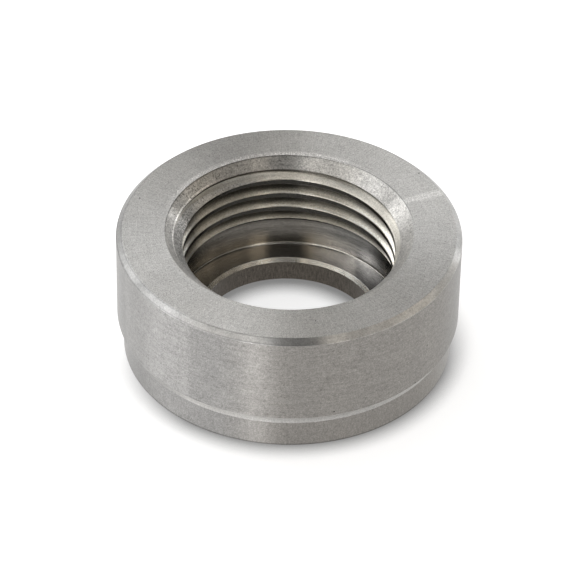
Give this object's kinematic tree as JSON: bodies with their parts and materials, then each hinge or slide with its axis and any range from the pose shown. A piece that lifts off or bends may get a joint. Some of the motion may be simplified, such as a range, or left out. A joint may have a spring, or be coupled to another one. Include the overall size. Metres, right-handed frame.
{
  "type": "weld-on threaded sensor bung",
  "caption": "Round steel weld-on boss with a countersunk internal thread, a runout groove, a flat gasket seat and a smaller lower bore.",
  "frame": {"origin": "middle of the bottom face, the spigot's end, on the ring's axis", "axes": "+Z along the ring's axis, from the weld spigot up to the thread's mouth"},
  "size_m": [0.03, 0.03, 0.012],
  "materials": {
    "turned_steel": "satin, as turned, with fine machining marks"
  },
  "bodies": {
    "root": {"bung": "turned_steel"}
  },
  "joints": []
}
